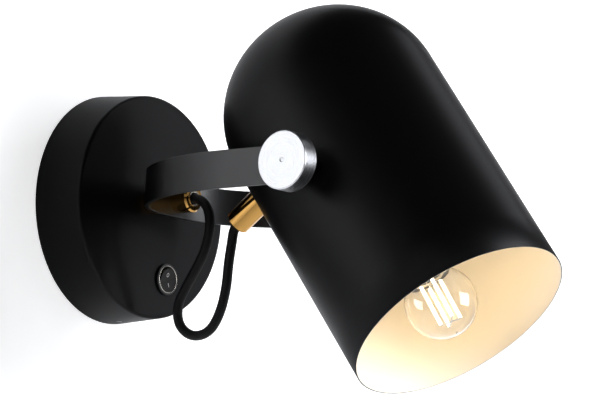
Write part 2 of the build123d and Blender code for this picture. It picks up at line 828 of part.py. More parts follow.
# lampholder: base cup and ribbed skirt, on a short hollow nipple with a ring nut
with BuildPart() as holder_base:
    with BuildSketch(lamp_section):
        with BuildLine():
            Polyline(
                (nipple_radius + fit, plate_top + fit),
                (holder_base_radius, plate_top + fit),
                (holder_radius, holder_joint - holder_base_radius / 2),
                (holder_radius, holder_joint - fit),
                (holder_radius - holder_wall, holder_joint - fit),
                (holder_radius - holder_wall, holder_joint - holder_base_radius / 2 + holder_wall / 2),
                (holder_base_radius - holder_wall / 2, plate_top + holder_wall),
                (nipple_radius + fit, plate_top + holder_wall),
                close=True,
            )
        make_face()
    revolve(axis=lamp_axis)
save(holder_base, "holder_base")

with BuildPart() as holder_skirt:
    with BuildSketch(lamp_plane(holder_joint)):
        Circle(holder_radius)
    extrude(amount=holder_top - holder_joint)
    skirt_rims = edges().filter_by(GeomType.CIRCLE).sort_by(lamp_axis)
    fillet(skirt_rims[-1], holder_edge)
    with BuildSketch(lamp_plane(holder_joint + holder_floor)):
        Circle(sleeve_radius + fit)
    extrude(amount=holder_length, mode=Mode.SUBTRACT)
    with BuildSketch(lamp_plane(holder_joint + holder_floor)):
        with PolarLocations(holder_radius, holder_rib_count):
            Circle(holder_rib_radius)
    extrude(amount=holder_rib_length, mode=Mode.SUBTRACT)
save(holder_skirt, "holder_skirt")

with BuildPart() as holder_sleeve:
    with BuildSketch(lamp_plane(contact_floor + fit)):
        Circle(sleeve_radius)
        Circle(sleeve_radius - sleeve_wall, mode=Mode.SUBTRACT)
    extrude(amount=sleeve_length)
save(holder_sleeve, "holder_sleeve")

with BuildPart() as holder_contact:
    with BuildSketch(lamp_plane(contact_floor + fit)):
        Circle(contact_radius)
    extrude(amount=contact_thickness)
    with BuildSketch(lamp_plane(contact_floor + fit)):
        Circle(contact_tongue_radius)
    extrude(amount=tip_bottom - contact_floor - 2 * fit)
save(holder_contact, "holder_contact")

with BuildPart() as holder_nipple:
    with BuildSketch(lamp_plane(plate_top - bridge_thickness - holder_nipple_tail)):
        Circle(nipple_radius)
        Circle(nipple_bore, mode=Mode.SUBTRACT)
    extrude(amount=holder_nipple_tail + bridge_thickness + holder_nipple_reach)
save(holder_nipple, "holder_nipple")

with BuildPart() as holder_nut:
    with BuildSketch(lamp_plane(plate_top - bridge_thickness)):
        RegularPolygon(lock_nut_flats / 2, 6, major_radius=False)
        Circle(nipple_radius + fit, mode=Mode.SUBTRACT)
    extrude(amount=-holder_nut_height)
save(holder_nut, "holder_nut")

# bulb: blown globe with a neck, fused glass stem, wires, filaments and screw cap
with BuildPart() as bulb_glass:
    with BuildSketch(lamp_section):
        with Locations((0, globe_place)):
            Circle(globe_radius)
        with Locations((0, (glass_bottom + globe_place) / 2)):
            Rectangle(2 * neck_radius, globe_place - glass_bottom)
        neck_corners = vertices().group_by(Axis((0, 0, 0), (0, 1, 0)))[1]
        fillet(neck_corners, neck_blend)
        split(bisect_by=Plane.YZ, keep=Keep.TOP)
    revolve(axis=lamp_axis)
    with BuildSketch(lamp_section):
        with Locations((0, globe_place)):
            Circle(globe_radius - glass_wall)
        with Locations((0, (glass_bottom + globe_place) / 2)):
            Rectangle(2 * (neck_radius - glass_wall), globe_place - glass_bottom)
        split(bisect_by=Plane.YZ, keep=Keep.TOP)
    revolve(axis=lamp_axis, mode=Mode.SUBTRACT)
save(bulb_glass, "bulb_glass")

with BuildPart() as bulb_stem:
    with BuildSketch(lamp_plane(glass_bottom)):
        Circle(neck_radius - glass_wall - fit)
    extrude(amount=stem_flange)
    with BuildSketch(lamp_plane(glass_bottom + stem_flange)):
        Circle(stem_foot_radius)
    with BuildSketch(lamp_plane(stem_post_top)):
        Circle(stem_post_radius)
    loft()
save(bulb_stem, "bulb_stem")

with BuildPart() as bulb_wires:
    with BuildSketch(lamp_plane(stem_post_top)):
        Circle(wire_radius)
    extrude(amount=filament_end + wire_radius - stem_post_top)
    for place in (filament_end - filament_length - wire_radius, filament_end + wire_radius):
        for turn in range(filament_count):
            arm_turn = math.radians(45 + turn * 360 / filament_count)
            arm_way = Vector(1, 0, 0) * math.cos(arm_turn) + lamp_side * math.sin(arm_turn)
            with BuildSketch(Plane(origin=pivot + lamp_way * place, z_dir=arm_way)):
                Circle(wire_radius)
            extrude(amount=filament_circle + wire_radius)
save(bulb_wires, "bulb_wires")

with BuildPart() as bulb_filaments:
    with BuildSketch(lamp_plane(filament_end)):
        with PolarLocations(filament_circle, filament_count, start_angle=45):
            Circle(filament_radius)
    extrude(amount=-filament_length)
save(bulb_filaments, "bulb_filaments")

with BuildPart() as bulb_cap:
    with BuildSketch(lamp_section):
        with BuildLine():
            Polyline(
                (cap_radius, cap_top),
                (cap_radius, cap_bottom + cap_shoulder),
                (cap_floor_radius, cap_bottom),
                (cap_floor_radius - cap_wall, cap_bottom + cap_wall),
                (cap_radius - cap_wall, cap_bottom + cap_shoulder + cap_wall),
                (cap_radius - cap_wall, cap_top),
                close=True,
            )
        make_face()
    revolve(axis=lamp_axis)
save(bulb_cap, "bulb_cap")

with BuildPart() as bulb_contact:
    with BuildSketch(lamp_plane(cap_bottom)):
        Circle(cap_floor_radius - cap_wall - fit)
    with BuildSketch(lamp_plane(cap_bottom - insulator_height)):
        Circle(tip_radius)
    loft()
    with BuildSketch(lamp_plane(cap_bottom - insulator_height)):
        Circle(tip_radius)
    extrude(amount=-tip_height)
    rims = edges().filter_by(GeomType.CIRCLE).sort_by(lamp_axis)
    fillet(rims[0], tip_height / 2)
save(bulb_contact, "bulb_contact")

def cord_route(points):
    """Corners of a cord in the plane x = 0, and the radius of the arc at each inner corner."""
    corners = [Vector(0, -distance, height) for distance, height in points]
    radii = []
    for before, corner, after in zip(corners, corners[1:], corners[2:]):
        turn = math.radians((corner - before).get_angle(after - corner))
        shorter = min((corner - before).length, (after - corner).length)
        radii.append(arc_share * shorter / math.tan(turn / 2))
    return corners, radii


# cords: straight runs joined by tangent arcs
for points, name in ((cord_points, "lamp_cord"), (lead_points, "lamp_lead")):
    corners, radii = cord_route(points)
    with BuildPart() as cord:
        with BuildLine() as cord_line:
            FilletPolyline(*corners, radius=radii)
        with BuildSketch(Plane(origin=corners[0], z_dir=corners[1] - corners[0])):
            Circle(cord_diameter / 2)
        sweep(path=cord_line.line)
    save(cord, name)
    run = cord_line.wires()[0].length
    section = math.pi * (cord_diameter / 2) ** 2
    print(name, "radii, mm:", [round(radius, 1) for radius in radii])
    print(name, "length, mm:", round(run, 1), "volume share:", round(cord.part.volume / section / run, 4))

print("yoke bend radii, mm:", round(first_radius, 1), round(second_radius, 1))
print("shade length, mm:", shade_mouth + shade_straight_back + shade_dome)
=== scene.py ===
import json
import math

import bmesh
import bpy
import numpy as np
from mathutils import Matrix, Vector


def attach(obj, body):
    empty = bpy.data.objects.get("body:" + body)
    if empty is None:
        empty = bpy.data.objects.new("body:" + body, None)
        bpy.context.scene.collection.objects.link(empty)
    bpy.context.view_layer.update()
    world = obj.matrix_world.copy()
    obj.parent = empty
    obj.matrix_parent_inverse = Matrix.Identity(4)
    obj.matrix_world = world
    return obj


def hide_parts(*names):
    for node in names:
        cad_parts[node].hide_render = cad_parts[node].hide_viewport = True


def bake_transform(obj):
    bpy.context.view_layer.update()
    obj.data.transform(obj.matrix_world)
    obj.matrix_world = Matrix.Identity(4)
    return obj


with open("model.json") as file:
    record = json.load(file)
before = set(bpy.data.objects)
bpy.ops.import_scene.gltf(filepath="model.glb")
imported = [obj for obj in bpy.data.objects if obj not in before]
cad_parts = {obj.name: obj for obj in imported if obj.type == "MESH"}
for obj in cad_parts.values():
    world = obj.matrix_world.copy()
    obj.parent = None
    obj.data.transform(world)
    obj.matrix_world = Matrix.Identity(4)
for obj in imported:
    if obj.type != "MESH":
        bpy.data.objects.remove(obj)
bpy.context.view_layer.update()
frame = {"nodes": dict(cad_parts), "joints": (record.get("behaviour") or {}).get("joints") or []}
nodes = frame["nodes"]
scene = bpy.context.scene
scene.view_settings.view_transform = "Standard"
print("frame:", len(nodes), "nodes")

# places and ways that several pieces share, out of the frame where it has them, in metres
joints = {joint["name"]: joint for joint in frame["joints"]}
pivot = Vector(joints["tilt"]["pos_m"])
tilts = {"shade": 53.5, "bulbOff": 2.7}  # degrees below level, and how far off that the bulb hangs
sameSpot = 1e-6  # points nearer than this are one


def wayBelow(degrees):  # the way out from the wall, turned down by that angle
    turn = math.radians(degrees)
    return Vector((0, -math.cos(turn), -math.sin(turn)))


mouthWay = wayBelow(tilts["shade"])
bulbWay = wayBelow(tilts["shade"] + tilts["bulbOff"])

# camera: place, axes and lens come from a fit to the lamp's edges in the photograph
view = {
    "place": (-1.681956, -1.447787, -0.327617),
    "right": (0.600876, -0.798359, 0.039635),
    "up": (-0.144960, -0.060072, 0.987612),
    "back": (-0.786088, -0.599178, -0.151826),
    "lens": 191.495,
    "sensor": 36,
    "farthest": 100,
}
cameraData = bpy.data.cameras.new("camera")
cameraData.lens = view["lens"]
cameraData.sensor_width = view["sensor"]
cameraData.clip_end = view["farthest"]
camera = bpy.data.objects.new("camera", cameraData)
scene.collection.objects.link(camera)
axes = Matrix((view["right"], view["up"], view["back"])).transposed()
camera.matrix_world = Matrix.Translation(view["place"]) @ axes.to_4x4()
scene.camera = camera


def linear(hexColour):  # an sRGB hex colour as Blender's linear colour
    parts = [int(hexColour[i : i + 2], 16) / 255 for i in (1, 3, 5)]
    return (*[p / 12.92 if p <= 0.04045 else ((p + 0.055) / 1.055) ** 2.4 for p in parts], 1)


def addNode(tree, kind, settings=None, links=None):  # one node with its settings and links
    node = tree.nodes.new(kind)
    for name, value in (settings or {}).items():
        if isinstance(name, str) and hasattr(node, name):
            setattr(node, name, value)
        else:
            node.inputs[name].default_value = value
    for name, socket in (links or {}).items():
        tree.links.new(socket, node.inputs[name])
    return node


def newMaterial(name, colour, settings):  # a material with its shader, ready for patterns
    material = bpy.data.materials.new(name)
    material.use_nodes = True
    tree = material.node_tree
    tree.nodes.clear()
    shader = addNode(tree, "ShaderNodeBsdfPrincipled", {"Base Color": linear(colour), **settings})
    addNode(tree, "ShaderNodeOutputMaterial", links={"Surface": shader.outputs[0]})
    material.diffuse_color = linear(colour)
    return material, tree, shader


grainSpread = {"low": 0.3, "high": 0.7}  # most of a noise's values lie between these


def addGrain(tree, shader, finish, place=None):
    # noise of the finish's grain and depth as bump, and over its roughness if it has a range of it
    place = place or addNode(tree, "ShaderNodeTexCoord").outputs["Object"]
    noise = addNode(
        tree, "ShaderNodeTexNoise", {"Scale": 1 / finish["grain"], "Detail": 3}, {"Vector": place}
    )
    bump = addNode(
        tree, "ShaderNodeBump", {"Distance": finish["depth"]}, {"Height": noise.outputs[0]}
    )
    tree.links.new(bump.outputs[0], shader.inputs["Normal"])
    if "roughness" in finish:
        smoothest, roughest = finish["roughness"]
        spread = addNode(
            tree,
            "ShaderNodeMapRange",
            {
                "From Min": grainSpread["low"],
                "From Max": grainSpread["high"],
                "To Min": smoothest,
                "To Max": roughest,
            },
            {"Value": noise.outputs[0]},
        )
        tree.links.new(spread.outputs[0], shader.inputs["Roughness"])


def grainyMaterial(name, finish, settings):  # a material that has its finish's grain all over
    material, tree, shader = newMaterial(name, finish["colour"], settings)
    addGrain(tree, shader, finish)
    return material


def toObject(mesh, name, materials, smooth=True):  # a finished bmesh as an object of the scene
    data = bpy.data.meshes.new(name)
    mesh.to_mesh(data)
    mesh.free()
    for material in materials:
        data.materials.append(material)
    for face in data.polygons:
        face.use_smooth = smooth
    piece = bpy.data.objects.new(name, data)
    scene.collection.objects.link(piece)
    return piece


# braided rayon over the flex: dull black, each yarn with a faint sheen
braidFinish = {
    "colour": "#040405",
    "grain": 0.00035,
    "depth": 0.00005,
    "roughness": (0.42, 0.6),
    "gloss": 0.22,
    "sheen": 0.03,
    "sheenRoughness": 0.4,
}
braid, tree, shader = newMaterial(
    "blackBraid",
    braidFinish["colour"],
    {
        "Specular IOR Level": braidFinish["gloss"],
        "Sheen Weight": braidFinish["sheen"],
        "Sheen Roughness": braidFinish["sheenRoughness"],
    },
)
alongFlex = addNode(tree, "ShaderNodeAttribute", {"attribute_name": "alongFlex"})
addGrain(tree, shader, braidFinish, alongFlex.outputs["Vector"])

# flex and inner lead: a braided tube along a smooth curve
flex = {
    "diameter": 0.0068,
    "carriers": 16,  # yarns each way round
    "lay": 0.021,  # a yarn goes once round in this length
    "relief": 0.00024,
    "under": 0.6,  # how high a yarn stands where it passes under another
    "rings": 0.0004,
    "sides": 96,
    "resolution": 24,
    "pathStep": 4,
}

# the CAD part's own route points: the distance from the wall and the height
flexRoute = [
    (0.0675, 0.0040),
    (0.0760, 0.0040),
    (0.0840, 0.0005),
    (0.0888, -0.0080),
    (0.0893, -0.0195),
    (0.0860, -0.0330),
    (0.0800, -0.0435),
    (0.0723, -0.0548),
    (0.0635, -0.0690),
    (0.0652, -0.0837),
    (0.0777, -0.0924),
    (0.0927, -0.0898),
    (0.1014, -0.0773),
    (0.1060, -0.0600),
    (0.1069, -0.0425),
    (0.1089, -0.0295),
    (0.1104, -0.0172),
    (0.1187, -0.0111),
]
leadRoute = [(0.1409, 0.0054), (0.1741, 0.0299), (0.2155, 0.0241), (0.2379, -0.0093)]


def smoothLine(route, name):  # points read from a NURBS curve that has the route as control points
    curve = bpy.data.curves.new(name, "CURVE")
    curve.dimensions = "3D"
    curve.resolution_u = flex["resolution"]
    spline = curve.splines.new("NURBS")
    spline.points.add(len(route) - 1)
    for point, (distance, height) in zip(spline.points, route):
        point.co = (0, -distance, height, 1)
    spline.order_u = 3
    spline.use_endpoint_u = True
    holder = bpy.data.objects.new(name, curve)
    scene.collection.objects.link(holder)
    bpy.context.view_layer.update()
    mesh = bpy.data.meshes.new_from_object(holder)
    points = np.array([v.co for v in mesh.vertices])
    bpy.data.objects.remove(holder)
    bpy.data.meshes.remove(mesh)
    return points


def evenLine(route, name):  # points a ring's gap apart, the way at each, and how far along it is
    points = smoothLine(route, name)
    steps = np.linalg.norm(np.diff(points, axis=0), axis=1)
    run = np.concatenate([[0], np.cumsum(steps)])
    count = round(run[-1] / flex["rings"]) + 1
    places = np.linspace(0, run[-1], count)
    line = np.column_stack([np.interp(places, run, points[:, i]) for i in range(3)])
    ways = np.gradient(line, places, axis=0)
    ways /= np.linalg.norm(ways, axis=1)[:, None]
    return line, ways, places


def braidHeight(turn, place):  # 0 to 1: two families of yarns that pass over and under each other
    along = place / flex["lay"] * flex["carriers"]
    around = turn / (2 * math.pi) * flex["carriers"]
    left = around + along
    right = around - along
    leftHeight = np.abs(np.sin(math.pi * left))
    rightHeight = np.abs(np.sin(math.pi * right))
    leftOver = (np.floor(left) + np.floor(right)) % 2 == 0
    return np.where(
        leftOver,
        np.maximum(leftHeight, flex["under"] * rightHeight),
        np.maximum(flex["under"] * leftHeight, rightHeight),
    )


def makeFlex(line, ways, places, name, node):  # the tube along these points of the line
    sides = flex["sides"]
    middle = flex["diameter"] / 2
    turn = np.arange(sides) / sides * 2 * math.pi
    height = braidHeight(turn[None, :], places[:, None])
    radius = middle - flex["relief"] * (1 - height)
    sideWay = np.array([1.0, 0, 0])
    upWays = np.cross(ways, sideWay)
    rings = (
        line[:, None, :]
        + (radius * np.cos(turn))[:, :, None] * sideWay
        + (radius * np.sin(turn))[:, :, None] * upWays[:, None, :]
    )
    mesh = bmesh.new()
    loops = [[mesh.verts.new(p) for p in ring] for ring in rings]
    for first, second in zip(loops, loops[1:]):
        for i in range(sides):
            j = (i + 1) % sides
            mesh.faces.new((first[i], first[j], second[j], second[i]))
    mesh.faces.new(list(reversed(loops[0])))
    mesh.faces.new(loops[-1])
    bmesh.ops.recalc_face_normals(mesh, faces=mesh.faces)
    piece = toObject(mesh, name, [braid])
    for face in piece.data.polygons:  # all but the two ends are four-sided and shaded smooth
        face.use_smooth = len(face.vertices) == 4
    straight = np.empty((len(line), sides, 3))  # where each point is when the flex lies straight
    straight[:, :, 0] = middle * np.cos(turn)
    straight[:, :, 1] = middle * np.sin(turn)
    straight[:, :, 2] = places[:, None]
    along = piece.data.attributes.new("alongFlex", "FLOAT_VECTOR", "POINT")
    along.data.foreach_set("vector", straight.ravel())
    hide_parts(node)
    print(name, "rings", len(line))
    return piece


# the flex's falling run stays with the yoke, and from the bottom of its loop on it is a second
# piece, left where it is; the bend's start and end are not used
bend = {"from": 0.107, "start": (0, -0.0788, -0.1006), "end": (0, -0.1432, -0.0641)}
line, ways, places = evenLine(flexRoute, "flexLine")
seam = round(bend["from"] / flex["rings"])
flexPiece = makeFlex(
    line[: seam + 1], ways[: seam + 1], places[: seam + 1], "flexBraid", "lamp_cord"
)
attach(flexPiece, "yoke")
flexLoop = makeFlex(line[seam:], ways[seam:], places[seam:], "flexBraidLoop", "lamp_cord")
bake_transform(flexLoop)

line, ways, places = evenLine(leadRoute, "leadLine")
leadPiece = makeFlex(line, ways, places, "leadBraid", "lamp_lead")
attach(leadPiece, "shade")
print("camera and cords made")

# satin polyester powder on steel: deep black, a soft broad gloss, the faintest orange peel
powderCoat = {
    "colour": "#050506",
    "grain": 0.0011,
    "depth": 0.000012,
    "roughness": (0.33, 0.39),
    "slanting": 0.7,  # how slanting the surface is where the gloss has reached its edge value
    "shadeGloss": (0.2, 0.06),
    "barGloss": (1.0, 0.1),
}


def makePaint(name, glosses):  # with its gloss seen square on and seen along the surface
    squareOn, alongSurface = glosses
    paint, tree, shader = newMaterial(name, powderCoat["colour"], {"IOR": 1.5})
    addGrain(tree, shader, powderCoat)
    slant = addNode(tree, "ShaderNodeLayerWeight", {"Blend": 0.5})
    gloss = addNode(
        tree,
        "ShaderNodeMapRange",
        {"From Max": powderCoat["slanting"], "To Min": squareOn, "To Max": alongSurface},
        {"Value": slant.outputs["Facing"]},
    )
    tree.links.new(gloss.outputs[0], shader.inputs["Specular IOR Level"])
    return paint


powderBlack = makePaint("powderBlack", powderCoat["shadeGloss"])
barBlack = makePaint("powderBlackBar", powderCoat["barGloss"])  # the flat bar has a fuller gloss

# white stove enamel sprayed inside the shade: bright, softly glossy
enamelFinish = {
    "colour": "#f3efe6",
    "grain": 0.0014,
    "depth": 0.00001,
    "roughness": (0.36, 0.46),
}
enamelWhite = grainyMaterial("enamelWhite", enamelFinish, {"IOR": 1.5})

# aluminium turned and then brushed: bright, with fine marks that run round the knob's axis
turning = {
    "colour": "#d6d7da",
    "mark": 0.0005,
    "depth": 0.000006,
    "contrast": 0.7,
    "roughness": (0.2, 0.34),
}
aluminium, tree, shader = newMaterial("turnedAluminium", turning["colour"], {"Metallic": 1})
place = addNode(tree, "ShaderNodeTexCoord").outputs["Object"]
centred = addNode(
    tree, "ShaderNodeMapping", {"Location": (0, -pivot.y, -pivot.z)}, {"Vector": place}
)
apart = addNode(tree, "ShaderNodeSeparateXYZ", links={"Vector": centred.outputs[0]})
flat = addNode(
    tree,
    "ShaderNodeCombineXYZ",
    {"X": 0},
    {"Y": apart.outputs["Y"], "Z": apart.outputs["Z"]},
)
radius = addNode(tree, "ShaderNodeVectorMath", {"operation": "LENGTH"}, {0: flat.outputs[0]})
across = addNode(
    tree, "ShaderNodeCombineXYZ", {"Z": 0}, {"X": radius.outputs["Value"], "Y": apart.outputs["X"]}
)
marks = addNode(
    tree,
    "ShaderNodeTexNoise",
    {"Scale": 1 / turning["mark"], "Detail": 4, "Roughness": turning["contrast"]},
    {"Vector": across.outputs[0]},
)
bump = addNode(
    tree, "ShaderNodeBump", {"Distance": turning["depth"]}, {"Height": marks.outputs[0]}
)
spread = addNode(
    tree,
    "ShaderNodeMapRange",
    {"To Min": turning["roughness"][0], "To Max": turning["roughness"][1]},
    {"Value": marks.outputs[0]},
)
tree.links.new(bump.outputs[0], shader.inputs["Normal"])
tree.links.new(spread.outputs[0], shader.inputs["Roughness"])

# brass, turned and polished: warm yellow, sharp streaks of reflection
brassFinish = {"colour": "#cf9f58", "grain": 0.0008, "depth": 0.000003, "roughness": (0.05, 0.1)}
brass = grainyMaterial("polishedBrass", brassFinish, {"Metallic": 1})

# zinc plated steel: grey with a bluish cast, dull bright
zincFinish = {"colour": "#b4b7bb", "grain": 0.0012, "depth": 0.000006, "roughness": (0.28, 0.42)}
zincSteel = grainyMaterial("zincPlatedSteel", zincFinish, {"Metallic": 1})

# nickel plate: bright and slightly warm
nickelFinish = {"colour": "#cfcac0", "grain": 0.001, "depth": 0.000003, "roughness": (0.1, 0.2)}
nickel = grainyMaterial("nickelPlate", nickelFinish, {"Metallic": 1})

# moulded thermoplastics: spark-eroded texture on the bezel and holder, glossy on the rocker,
# plain and dull where they insulate; then the red fibre washer under the stem, which is duller
moulded = {
    "blackMatt": ("#060607", 0.0005, 0.00001, (0.34, 0.44)),
    "blackGloss": ("#060607", 0.0016, 0.000004, (0.16, 0.24)),
    "whitePolyamide": ("#dcd9d0", 0.0008, 0.00001, (0.4, 0.5)),
    "naturalNylon": ("#cfcdc4", 0.0008, 0.000006, (0.35, 0.45)),
    "fibreRed": ("#6d3428", 0.0006, 0.00001, (0.6, 0.7)),
}
plastics = {}
for name, (colour, grain, depth, rough) in moulded.items():
    finish = {"colour": colour, "grain": grain, "depth": depth, "roughness": rough}
    plastics[name] = grainyMaterial(name, finish, {"IOR": 1.49})

# printed marks on the rocker: white ink, a little grey with wear
inkFinish = {"colour": "#d8d8d6", "grain": 0.0004, "depth": 0.000002, "roughness": (0.45, 0.6)}
ink = grainyMaterial("whiteInk", inkFinish, {})

# blown soda-lime glass: clear, barely uneven; the lamp's own light passes it unbent
glassFinish = {"colour": "#ffffff", "through": "#f6f6f2", "grain": 0.012, "depth": 0.00002}
glass, tree, shader = newMaterial(
    "clearGlass",
    glassFinish["colour"],
    {"Transmission Weight": 1, "IOR": 1.46, "Roughness": 0},
)
addGrain(tree, shader, glassFinish)
clear = addNode(tree, "ShaderNodeBsdfTransparent", {"Color": linear(glassFinish["through"])})
rays = addNode(tree, "ShaderNodeLightPath")
glassMix = addNode(
    tree,
    "ShaderNodeMixShader",
    links={0: rays.outputs["Is Shadow Ray"], 1: shader.outputs[0], 2: clear.outputs[0]},
)
output = [node for node in tree.nodes if node.type == "OUTPUT_MATERIAL"][0]
tree.links.new(glassMix.outputs[0], output.inputs["Surface"])

# phosphor-coated filament: yellow when off, white hot to the eye when lit
filamentFinish = {
    "colour": "#ffe9b0",
    "grain": 0.0006,
    "depth": 0.00001,
    "light": "#fff3d2",
    "strength": 4.0,
}
phosphor = grainyMaterial(
    "glowingPhosphor",
    filamentFinish,
    {
        "Emission Color": linear(filamentFinish["light"]),
        "Emission Strength": filamentFinish["strength"],
        "Roughness": 0.6,
    },
)
print("materials made")


def dress(names, material):  # gives CAD nodes this material
    for name in names:
        data = nodes[name].data
        data.materials.clear()
        data.materials.append(material)


dress(["canopy_shell", "stem_tube", "pivot_bushes"], powderBlack)
dress(["yoke_bar"], barBlack)
dress(["knob_left", "knob_right"], aluminium)
dress(
    [
        "swivel_collar",
        "base_grip",
        "shade_grip",
        "shade_grip_nut",
        "terminal_clamps",
        "switch_blades",
        "earth_screw",
        "holder_contact",
        "holder_sleeve",
    ],
    brass,
)
dress(
    [
        "wall_strap",
        "side_screws",
        "terminal_screws",
        "swivel_nipple",
        "stop_washer",
        "stop_pin",
        "spring_washer",
        "lock_nut",
        "pivot_studs",
        "inner_washers",
        "pivot_nuts",
        "lamp_bridge",
        "holder_nipple",
        "holder_nut",
        "bulb_wires",
    ],
    zincSteel,
)
dress(["base_grip_ring", "shade_grip_ring", "bulb_cap"], nickel)
dress(["switch_body", "holder_base", "holder_skirt"], plastics["blackMatt"])
dress(["switch_rocker", "bulb_contact"], plastics["blackGloss"])
dress(["terminal_block"], plastics["whitePolyamide"])
dress(["pivot_washers"], plastics["naturalNylon"])
dress(["swivel_washer"], plastics["fibreRed"])
dress(["bulb_glass", "bulb_stem"], glass)
dress(["bulb_filaments"], phosphor)
print("CAD nodes dressed")

# shade: spun from one profile, black outside and over the edge of the mouth, white inside
shade = {
    "radius": 0.075,
    "wall": 0.0012,
    "mouth": 0.1165,
    "straightBack": 0.0625,
    "dome": 0.071,
    "rim": 0.0002,
    "overspray": 0.0007,
    "straightRings": (-0.03, 0.0, 0.03, 0.06, 0.09),
    "domeSteps": 40,
    "turns": 256,
}


def domeProfile(radius, dome):  # from the dome's tip to the straight side, across and along
    points = []
    for step in range(shade["domeSteps"] + 1):
        turn = math.pi / 2 * step / shade["domeSteps"]
        points.append((radius * math.sin(turn), -shade["straightBack"] - dome * math.cos(turn)))
    return points


def isInside(place):  # whether a place of the shade lies within the edge of the black
    middle = place - pivot
    along = middle.dot(mouthWay)
    across = (middle - mouthWay * along).length
    past = max(0, -shade["straightBack"] - along)
    half = shade["overspray"]
    level = (across / (shade["radius"] - half)) ** 2 + (past / (shade["dome"] - half)) ** 2
    return level < 1


def makeShade():
    outerRadius, mouth, rim = shade["radius"], shade["mouth"], shade["rim"]
    innerRadius = outerRadius - shade["wall"]
    outside = domeProfile(outerRadius, shade["dome"])
    outside += [(outerRadius, place) for place in shade["straightRings"]]
    edge = [
        (outerRadius, mouth - rim),
        (outerRadius - rim, mouth),
        (outerRadius - shade["overspray"], mouth),
        (innerRadius + rim, mouth),
        (innerRadius, mouth - rim),
    ]
    inside = domeProfile(innerRadius, shade["dome"] - shade["wall"])
    inside += [(innerRadius, place) for place in shade["straightRings"]]
    profile = outside + edge + inside[::-1]
    mesh = bmesh.new()
    verts = [mesh.verts.new(pivot + Vector((x, 0, 0)) + mouthWay * along) for x, along in profile]
    edges = [mesh.edges.new(pair) for pair in zip(verts, verts[1:])]
    bmesh.ops.spin(
        mesh,
        geom=verts + edges,
        cent=pivot,
        axis=mouthWay,
        angle=2 * math.pi,
        steps=shade["turns"],
        use_merge=True,
    )
    bmesh.ops.remove_doubles(mesh, verts=mesh.verts, dist=sameSpot)
    bmesh.ops.recalc_face_normals(mesh, faces=mesh.faces)
    for face in mesh.faces:
        face.material_index = 1 if isInside(face.calc_center_median()) else 0
    piece = toObject(mesh, "shadeSkin", [powderBlack, enamelWhite])
    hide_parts("shade_shell")
    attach(piece, "shade")


makeShade()
print("shade spun")

# rocker marks: O on the proud side, I on the pressed side
rockerMarks = {
    "place": 0.0036,
    "ring": 0.0014,
    "ringSides": 40,
    "stroke": 0.0004,
    "bar": 0.0028,
    "proud": 0.00006,
    "throw": 9.0,
    "crown": 0.0026,
}
rockerAxis = Vector(joints["rocker"]["axis"])
rockerCentre = Vector(joints["rocker"]["pos_m"])
outward = Vector((0, -1, 0))
throw = math.radians(rockerMarks["throw"])
inward = Vector((-rockerAxis.z, 0, rockerAxis.x))
rockerWay = inward * math.cos(throw) + outward * math.sin(throw)
rockerUp = outward * math.cos(throw) - inward * math.sin(throw)


def markPlace(side):  # the middle of the rocker's flat on that side, x across it and z out of it
    slope = throw * side
    way = rockerWay * math.cos(slope) + rockerUp * math.sin(slope)
    out = rockerUp * math.cos(slope) - rockerWay * math.sin(slope)
    rise = rockerMarks["crown"] + rockerMarks["place"] * math.tan(throw)
    centre = rockerCentre + rockerWay * (side * rockerMarks["place"]) + rockerUp * rise
    return Matrix.Translation(centre) @ Matrix((rockerAxis, way, out)).transposed().to_4x4()


def makeMarks():
    proud, stroke = rockerMarks["proud"], rockerMarks["stroke"]
    ring = bmesh.new()
    for radius in (rockerMarks["ring"], rockerMarks["ring"] - stroke):
        bmesh.ops.create_circle(ring, segments=rockerMarks["ringSides"], radius=radius)
    bmesh.ops.bridge_loops(ring, edges=ring.edges[:])
    raised = bmesh.ops.extrude_face_region(ring, geom=ring.faces[:])
    top = [v for v in raised["geom"] if isinstance(v, bmesh.types.BMVert)]
    bmesh.ops.translate(ring, vec=(0, 0, proud), verts=top)
    bmesh.ops.recalc_face_normals(ring, faces=ring.faces)
    ring.transform(markPlace(1))
    bar = bmesh.new()
    bmesh.ops.create_cube(bar, size=1)
    bmesh.ops.scale(bar, vec=(stroke, rockerMarks["bar"], proud), verts=bar.verts)
    bmesh.ops.translate(bar, vec=(0, 0, proud / 2), verts=bar.verts)
    bar.transform(markPlace(-1))
    for mesh, name in ((ring, "markOff"), (bar, "markOn")):
        piece = toObject(mesh, name, [ink], smooth=False)
        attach(piece, "rocker")


makeMarks()

# trim: a thin bright ring around the rocker, in the mouth of the bezel
trim = {"radius": 0.00935, "wire": 0.0003, "lift": 0.003, "turns": 96, "sides": 10}


def makeTrim():
    mesh = bmesh.new()
    centre = Vector((rockerCentre.x, rockerCentre.y - trim["lift"], rockerCentre.z))
    start = centre + rockerAxis * trim["radius"]
    section = []
    for step in range(trim["sides"]):
        turn = 2 * math.pi * step / trim["sides"]
        rise = rockerAxis * math.cos(turn) + outward * math.sin(turn)
        section.append(mesh.verts.new(start + rise * trim["wire"]))
    edges = [mesh.edges.new(pair) for pair in zip(section, section[1:] + section[:1])]
    bmesh.ops.spin(
        mesh,
        geom=section + edges,
        cent=centre,
        axis=(0, 1, 0),
        angle=2 * math.pi,
        steps=trim["turns"],
        use_merge=True,
    )
    bmesh.ops.remove_doubles(mesh, verts=mesh.verts, dist=sameSpot)
    bmesh.ops.recalc_face_normals(mesh, faces=mesh.faces)
    piece = toObject(mesh, "switchTrim", [nickel])
    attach(piece, "base")


makeTrim()
print("rocker marked and trimmed")

